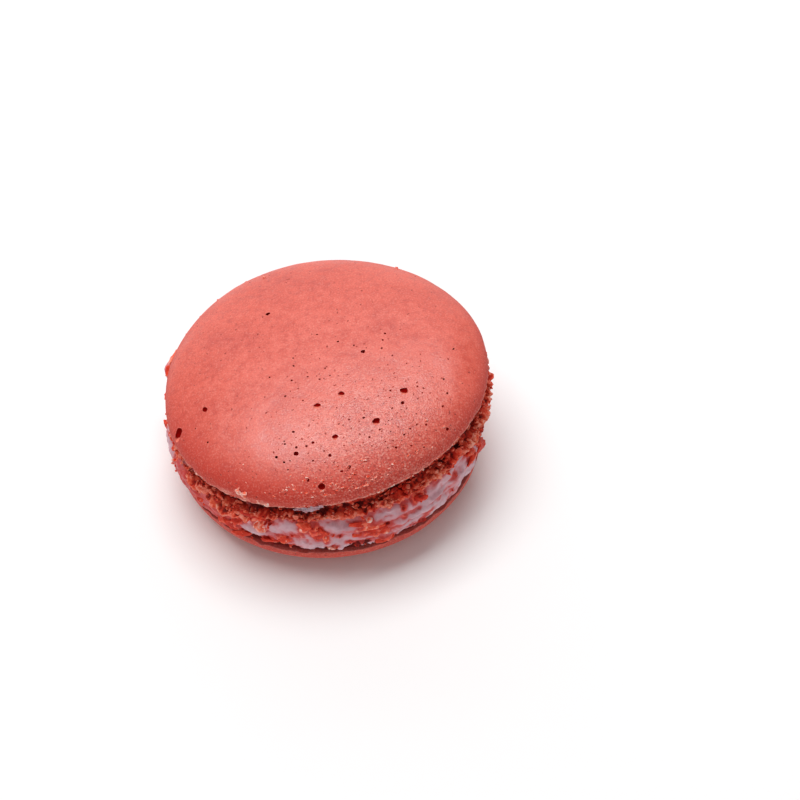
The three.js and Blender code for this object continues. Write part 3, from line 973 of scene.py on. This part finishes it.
# crumbs of shell pressed into it: bearing, height, half width, half height, slant in degrees, tone
flakes = [
    (-21.5, 8.9, 1.05, 1.0, 10, 0.8), (-5.6, 10.5, 1.0, 0.7, -10, 0.66), (-1.8, 9.5, 1.15, 0.95, -15, 0.42),
    (-13.1, 7.5, 0.85, 0.6, -10, 0.55), (-18.5, 6.3, 1.3, 0.5, 12, 0.5), (-30.5, 8.4, 0.9, 1.0, 0, 0.42),
    (-32.5, 6.6, 1.1, 0.8, 0, 0.4), (-29.0, 5.5, 1.6, 0.5, 15, 0.55), (-37.0, 6.6, 0.9, 0.6, 10, 0.6),
    (-41.0, 8.6, 0.5, 0.4, 5, 0.75), (-48.0, 7.6, 0.7, 0.4, 0, 0.5),
    (3.8, 6.1, 0.65, 0.45, 0, 0.75), (1.6, 8.5, 0.45, 0.9, 0, 0.6), (13.5, 10.6, 1.4, 0.45, -5, 0.45),
    (17.0, 9.7, 2.1, 0.55, -3, 0.58), (18.0, 8.7, 2.3, 0.55, 0, 0.42), (21.5, 8.1, 1.6, 0.6, 0, 0.52),
    (16.6, 11.1, 0.5, 0.35, 0, 0.95), (14.5, 6.6, 1.1, 0.45, 0, 0.08), (22.4, 6.3, 1.5, 0.5, 5, 0.5),
    (35.8, 6.5, 0.9, 0.4, 5, 0.28), (35.5, 11.6, 1.2, 0.7, 0, 0.4), (-24.0, 11.0, 2.2, 0.4, 0, 0.3),
    (-107, 12.0, 1.3, 0.7, 0, 0.72), (-103, 11.0, 0.9, 0.6, 0, 0.62), (-93, 10.4, 1.2, 0.7, 0, 0.55),
    (-82, 9.0, 1.0, 0.5, 0, 0.5),
]
moreFlakes = {"count": 95, "free": (-105, 62), "freeWidth": 0.25, "least": 0.3, "most": 1.5, "seed": 9}
# how each of them is made: a lump, and bits round it where they are seen closest
flakeLumps = {"out": 0.15, "size": 2.1, "bits": 2.5, "bitsWithin": 50, "bitSize": (0.25, 0.7), "seed": 31}
# layers of grain, as for the foot
creamRelief = {
    "flakeEdge": ((0.35, 1.1, 3), (0.16, 0.4, 5)),
    "hangEdge": ((1, 3, 4, 0), (0.7, 1, 9, 0), (0.4, 0.4, 2, 0)),
    "billows": ((0.35, 6, 2.5, 0),), "smear": ((0.5, 2.6, 1, 1.6), (0.13, 0.8, 2)),
    "streak": ((0.3, 3.5, 6, 5),), "grit": ((0.06, 0.33, 4),), "lift": ((0.2, 0.9, 12), (0.1, 0.4, 13)),
    "crumbly": ((0.5, 0.9, 8),), "crumbOut": 0.25, "cellSize": 0.7, "cellDepth": 0.35,
    "jam": ((0.5, 2.2, 41, 2), (0.35, 0.7, 43)), "stainAndShade": ((1, 4.2, 5, 6), (0.5, 1.6, 15, 5)),
    "crevice": (8, 0.12),
}
creamStainAndShade = {
    # top is a painted shadow at the top of the cream, under the foot
    "roundCrumbs": 0.5, "streaks": 0.55, "streakEdge": (-0.1, 0.6), "top": 0.8, "topEdge": (0.7, 0.9),
}


def creamTop(x):
    return cream["ceiling"] + cream["ceilingLean"] * (x + 0.2)


def dabOut(bearing, share):
    # how far the dabs push the cream outwards; share is 0 at its underside and 1 at its top
    out = 0
    for dab in creamDabs:
        away = ((bearing - dab["bearing"]) / dab["width"]) ** 2 + ((share - dab["share"]) / dab["reach"]) ** 2
        out = out + dab["depth"] * np.exp(-away)
    return out


def allFlakes():
    # the chosen ones and scattered ones, which stay small where the chosen ones are
    draw = random.Random(moreFlakes["seed"])
    start, end = moreFlakes["free"]
    chosen = list(flakes)
    for _ in range(moreFlakes["count"]):
        bearing = draw.uniform(-180, 180)
        wide = moreFlakes["least"] + moreFlakes["most"] * draw.random() ** 1.5
        if start < bearing < end:
            wide = min(wide, moreFlakes["freeWidth"])
        height = draw.uniform(6.0, creamTop(cream["radius"] * math.sin(math.radians(bearing))) - 0.2)
        tall, slant = wide * draw.uniform(0.35, 0.8), draw.uniform(-20, 20)
        chosen.append((bearing, height, wide, tall, slant, draw.uniform(0.25, 0.65)))
    return chosen


def flakeField(places, side):
    # for each point, how far inside a flake it lies in millimetres (below 0 outside), and that flake's tone
    bearing = bearingOf(places)
    inside, tone = np.full(len(places), -9.0), np.full(len(places), 0.5)
    for turn, height, wide, tall, slant, flakeTone in allFlakes():
        along = np.radians((bearing - turn + 180) % 360 - 180) * cream["radius"]
        up = places[:, 2] - height
        cos, sin = math.cos(math.radians(slant)), math.sin(math.radians(slant))
        away = np.hypot((along * cos + up * sin) / wide, (up * cos - along * sin) / tall) + 0.1
        depth = (1 - away) * min(wide, tall)
        tone = np.where(depth > inside, flakeTone, tone)
        inside = np.maximum(inside, depth)
    for i in np.flatnonzero(side):
        inside[i] += grainsAt(places[i], creamRelief["flakeEdge"])
    return inside, tone


def creamProfile():
    # height is a share of the layer here: 0 its underside, 1 its top, -1 the end of the hanging edge
    hang, rings, bends = cream["hangRings"], cream["sideRings"], cream["bendRings"]
    under, bend, side = cream["hangRadius"], cream["hangBend"], cream["sideRadius"]
    profile = [(0, 0), (11, 0), (19, 0), (under - 0.5, 0)]
    profile += [(under - 0.45 * (1 - i / hang), -0.1 - 0.9 * i / hang) for i in range(hang)]
    for i in range(bends):
        turn = math.pi / 2 * i / bends
        profile.append((under + bend * math.sin(turn), -bend - (1 - bend) * math.cos(turn)))
    for i in range(rings + 1):
        up = i / rings
        belly = cream["belly"] * math.sin(math.pi * up) ** 0.8 if 0 < up < 1 else 0
        shoulder = 1.1 * max(0, up - 0.75) ** 1.5 * 8
        profile.append((side + belly - shoulder, -bend + (1 + bend) * up))
    return profile + [(20.5, 1), (11, 1), (0, 1)]


def hangOf(places, share):
    # how far the edge hangs below the underside
    bearing = bearingOf(places)
    towardsBack = 0.5 + 0.5 * places[:, 1] / cream["radius"]
    hang = cream["hangFront"] + (cream["hangBack"] - cream["hangFront"]) * towardsBack
    hang += cream["hangMore"] * between(bearing, *cream["hanging"])
    ragged = cream["ragged"] * (1 - 0.6 * between(bearing, *cream["even"]))
    for i in np.flatnonzero(share < 0):
        hang[i] += ragged[i] * (grainsAt(places[i], creamRelief["hangEdge"]) - 0.1)
    return hang


def spreadCream(places):
    # the moulded points, and for each of them whether it is crumb, how red it is stained and shaded, and its
    # tone
    relief = creamRelief
    share = places[:, 2].copy()
    bearing = bearingOf(places)
    radius = np.hypot(places[:, 0], places[:, 1])
    side = np.clip((radius - 20.7) / 0.6, 0, 1) * (np.abs(share) > 0) * (share < 0.999)
    thickness = creamTop(places[:, 0]) - cream["floor"]
    places[:, 2] = cream["floor"] + share * np.where(share < 0, hangOf(places, share), thickness)
    inside, tone = flakeField(places, side)
    broken = smoothStep(-0.05, 0.22, inside)
    streaks = np.zeros(len(places))
    streaked = 0.2 + 0.8 * smoothStep(10, 35, np.abs(bearing + 8))  # the cream is smoothest in front
    jam = between(bearing, *cream["jam"])
    push = dabOut(bearing, share)
    for i in np.flatnonzero(side):
        place = places[i]
        away, _ = noise.voronoi(Vector(place) / relief["cellSize"])
        smear = grainsAt(place, relief["smear"]) + streaked[i] * grainsAt(place, relief["streak"])
        crumbly = relief["crumbOut"] + grainsAt(place, relief["crumbly"])
        crumbly = (crumbly + relief["cellDepth"] * (0.5 - away[0])) * (1 - 0.6 * jam[i])
        push[i] += smear * (1 - 0.4 * broken[i]) + crumbly * broken[i]
        push[i] += grainsAt(place, relief["billows"]) + grainsAt(place, relief["grit"])
        push[i] -= 0.5 * jam[i] * max(0, share[i] - 0.4)
        jam[i] *= 1.15 + grainsAt(place, relief["jam"])
        level = place[0], place[1], place[2] - cream["ceilingLean"] * place[0] * share[i]
        streaks[i] = grainsAt(level, relief["stainAndShade"])
        place[2] += side[i] * grainsAt(place, relief["lift"])
    places[:, :2] *= (1 + side * push / np.maximum(radius, 1))[:, None]
    # stained round the crumbs, in streaks and where the jam is, with painted shadow at the top, under the
    # foot
    stainAndShade = np.exp(-np.clip(-inside, 0, None) / creamStainAndShade["roundCrumbs"])
    streaks = creamStainAndShade["streaks"] * streaked * smoothStep(*creamStainAndShade["streakEdge"], streaks)
    shadeUnderFoot = creamStainAndShade["top"] * smoothStep(*creamStainAndShade["topEdge"], share)
    stainAndShade = np.maximum(np.maximum(stainAndShade, streaks), np.maximum(shadeUnderFoot, np.clip(jam, 0, 1)))
    return places, broken, stainAndShade, tone


def onCream(bearing, height, out=0.0):
    turn = math.radians(bearing)
    share = (height - cream["floor"]) / (creamTop(cream["radius"] * math.sin(turn)) - cream["floor"])
    radius = cream["radius"] + out + 0.85 * float(dabOut(bearing, share))
    return Vector(atBearing(turn, radius, height)), facingAt(turn)


def looseFlakes():
    # each crumb is a lump that stands out of the cream, with a few broken bits round it
    draw = random.Random(flakeLumps["seed"])
    copies = []
    for bearing, height, wide, tall, slant, tone in allFlakes():
        place, facing = onCream(bearing, height, flakeLumps["out"])
        facing = facing @ Euler((0, math.radians(slant), 0)).to_matrix()
        shape = flakeLumps["size"] * wide, 0.7 + 0.7 * min(wide, tall), flakeLumps["size"] * tall
        copies.append(crumbCopy(draw, place, facing, shape, tone, large if wide > 0.6 else small))
        bits = int(flakeLumps["bits"] * wide * tall) if abs(bearing) < flakeLumps["bitsWithin"] else 0
        for _ in range(bits):
            around, reach = draw.uniform(0, 2 * math.pi), draw.uniform(0.6, 1.25)
            turn = bearing + math.degrees(reach * math.cos(around) * wide / cream["radius"])
            place, facing = onCream(turn, height + reach * math.sin(around) * tall, draw.uniform(0.05, 0.4))
            size = draw.uniform(*flakeLumps["bitSize"])
            shape = [size * draw.uniform(0.9, 1.6), size * 0.9, size * draw.uniform(0.6, 1)]
            copies.append(crumbCopy(draw, place, facing, shape, tone + draw.uniform(-0.25, 0.12)))
    return spread("creamCrumbs", copies, crumbMaterial)


# a little cream wiped up over the foot to the edge of the upper shell: bearing, height, out, across, up
creamSmear = {
    "dabs": [
        (-7.8, 13.9, -0.3, 0.9, 0.5), (-6.6, 13.8, -0.35, 1.2, 0.9), (-5.0, 14.0, -0.3, 1.5, 1.2),
        (-3.4, 14.3, -0.15, 1.5, 1.0), (-1.8, 14.7, 0, 1.4, 0.7), (-0.4, 15.0, 0.05, 1.3, 0.45),
        (0.9, 15.25, 0.1, 1.0, 0.3),
    ],
    "thick": 0.5, "voxel": 0.08, "out": ((0.15, 0.6, 3), (0.1, 0.25, 6)), "lift": ((0.25, 0.5, 12),),
    "stainAndShade": ((0.35, 0.8, 2),), "seed": 3,
}


def wipeCream():
    # the dabs grown together
    draw = random.Random(creamSmear["seed"])
    copies = []
    for bearing, height, out, across, up in creamSmear["dabs"]:
        place, facing = onCream(bearing, height, out)
        copies.append(crumbCopy(draw, place, facing, (across, creamSmear["thick"], up), 0, large))
    wipe = spread("creamWipe", copies, wipedMaterial, "lump")
    pick(wipe)
    modify(wipe, "REMESH", mode="VOXEL", voxel_size=creamSmear["voxel"])
    places = pointsOf(wipe)
    for i, place in enumerate(places):
        push = Vector((place[0], place[1], 0)).normalized() * grainsAt(place, creamSmear["out"])
        places[i] = Vector(place) + push + Vector((0, 0, grainsAt(place, creamSmear["lift"])))
    mould(wipe, places)
    note(wipe, "stainAndShade", [0.15 + grainsAt(place, creamSmear["stainAndShade"]) for place in places])
    return wipe


creamLayer = turnOnAxis("creamLayer", creamProfile(), cream["steps"])
creamPlaces, broken, stainAndShade, tone = spreadCream(pointsOf(creamLayer))
mould(creamLayer, creamPlaces)
# redder, and the crumbs darker, in the creases: painted shade
sunk = creviceOf(creamLayer, *creamRelief["crevice"]) - 0.5
note(creamLayer, "broken", broken)
note(creamLayer, "stainAndShade", np.clip(stainAndShade + 0.5 * sunk, 0, 1))
note(creamLayer, "tone", np.clip(tone - 0.6 * sunk, 0, 1))
dress(creamLayer, creamMaterial)
creamCrumbs = looseFlakes()
creamWipe = wipeCream()
finishPieces(
    "filling", cream["seat"], (creamLayer, "cream", 60), (creamCrumbs, "shell_crumb", 80),
    (creamWipe, "cream", 60),
)

studio = {
    "camera": {"aim": (10.5, 9.1, 0), "elevation": 49, "distance": 220, "lens": 65.2},
    "floor": srgb(250, 249, 249), "sky": srgb(255, 255, 255), "skyStrength": 0.33,
    "overhead": {"middle": (-130, 200, 920), "aim": (0, 0, 10), "size": (860, 480), "power": 7.6},
    "behind": {"middle": (-150, 900, 400), "aim": (0, 0, 10), "size": (1500, 560), "power": 2.0},
    "front": {"middle": (-250, -900, 260), "aim": (0, 0, 10), "size": (1200, 400), "power": 0.9},
}


def addSoftbox(name, middle, aim, size, power):
    bpy.ops.object.light_add(type="AREA", location=Vector(middle) * mm)
    box = bpy.context.object
    box.name = name
    box.data.shape = "RECTANGLE"
    box.data.size, box.data.size_y = (side * mm for side in size)
    box.data.energy = power
    box.rotation_euler = (Vector(aim) - Vector(middle)).to_track_quat("-Z", "Y").to_euler()


def addFloor():
    clearPick()
    bpy.ops.mesh.primitive_plane_add(size=2)
    floor = bpy.context.object
    floor.name = "floor"
    material, tree, shader, _ = startMaterial("paleFloor")
    join(tree, shader, {"Base Color": studio["floor"], "Roughness": 0.9, "Specular IOR Level": 0.1})
    dress(floor, material)


def addSky():
    world = bpy.data.worlds.new("studioSky")
    bpy.context.scene.world = world
    world.use_nodes = True
    background = world.node_tree.nodes["Background"]
    background.inputs[0].default_value = studio["sky"]
    background.inputs[1].default_value = studio["skyStrength"]


def addCamera(aim, elevation, distance, lens):
    rise = math.radians(elevation)
    bpy.ops.object.camera_add()
    camera = bpy.context.object
    camera.location = (Vector(aim) + distance * Vector((0, -math.cos(rise), math.sin(rise)))) * mm
    camera.rotation_euler = (math.pi / 2 - rise, 0, 0)
    camera.data.lens = lens
    camera.data.sensor_width = 36
    camera.data.clip_start = 0.001
    bpy.context.scene.camera = camera
    bpy.context.scene.view_settings.view_transform = "Standard"


addFloor()
addSky()
for name in ("overhead", "behind", "front"):
    addSoftbox(name, **studio[name])
addCamera(**studio["camera"])
print("studio ready")
